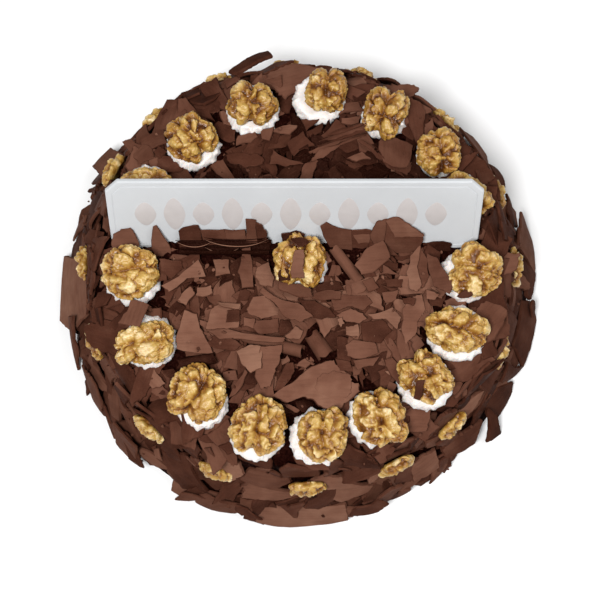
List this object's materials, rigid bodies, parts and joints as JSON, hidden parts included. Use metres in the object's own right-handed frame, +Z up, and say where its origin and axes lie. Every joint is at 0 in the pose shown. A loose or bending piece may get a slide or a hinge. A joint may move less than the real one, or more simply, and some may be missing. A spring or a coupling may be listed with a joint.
{
  "type": "chocolate walnut cake",
  "caption": "Round layer cake coated in chocolate shards, ringed with walnut halves on piped cream, with a blank white plaque leaning across the top.",
  "frame": {"origin": "centre of the cake's flat underside", "axes": "+Z up, +X to the right and -Y towards the viewer who faces the front of the plaque"},
  "size_m": [0.2736, 0.269, 0.1068],
  "materials": {
    "chocolate_coating": "matt milk and plain chocolate shards over dark crumbs",
    "dark_chocolate": "satin chocolate scrolls and a broken plate",
    "white_chocolate": "smooth satin",
    "whipped_cream": "soft matt",
    "walnut": "satin, wrinkled"
  },
  "bodies": {
    "root": {"cake": "chocolate_coating", "plaque": "white_chocolate", "cream_01": "whipped_cream", "cream_02": "whipped_cream", "cream_03": "whipped_cream", "cream_04": "whipped_cream", "cream_05": "whipped_cream", "cream_06": "whipped_cream", "cream_07": "whipped_cream", "cream_08": "whipped_cream", "cream_09": "whipped_cream", "cream_10": "whipped_cream", "cream_11": "whipped_cream", "cream_12": "whipped_cream", "cream_13": "whipped_cream", "cream_14": "whipped_cream", "cream_15": "whipped_cream", "cream_16": "whipped_cream", "cream_17": "whipped_cream", "walnut_01": "walnut", "walnut_02": "walnut", "walnut_03": "walnut", "walnut_04": "walnut", "walnut_05": "walnut", "walnut_06": "walnut", "walnut_07": "walnut", "walnut_08": "walnut", "walnut_09": "walnut", "walnut_10": "walnut", "walnut_11": "walnut", "walnut_12": "walnut", "walnut_13": "walnut", "walnut_14": "walnut", "walnut_15": "walnut", "walnut_16": "walnut", "walnut_17": "walnut", "side_walnut_01": "walnut", "side_walnut_02": "walnut", "side_walnut_03": "walnut", "side_walnut_04": "walnut", "side_walnut_05": "walnut", "side_walnut_06": "walnut", "side_walnut_07": "walnut", "side_walnut_08": "walnut", "side_walnut_09": "walnut", "side_walnut_10": "walnut", "side_walnut_11": "walnut", "side_walnut_12": "walnut", "side_walnut_13": "walnut", "side_walnut_14": "walnut", "side_walnut_15": "walnut", "side_walnut_16": "walnut", "scroll_by_plaque": "dark_chocolate", "scroll_front": "dark_chocolate", "scroll_front_left": "dark_chocolate", "scroll_right": "dark_chocolate", "scroll_front_right": "dark_chocolate", "plate_front": "dark_chocolate"}
  },
  "joints": []
}
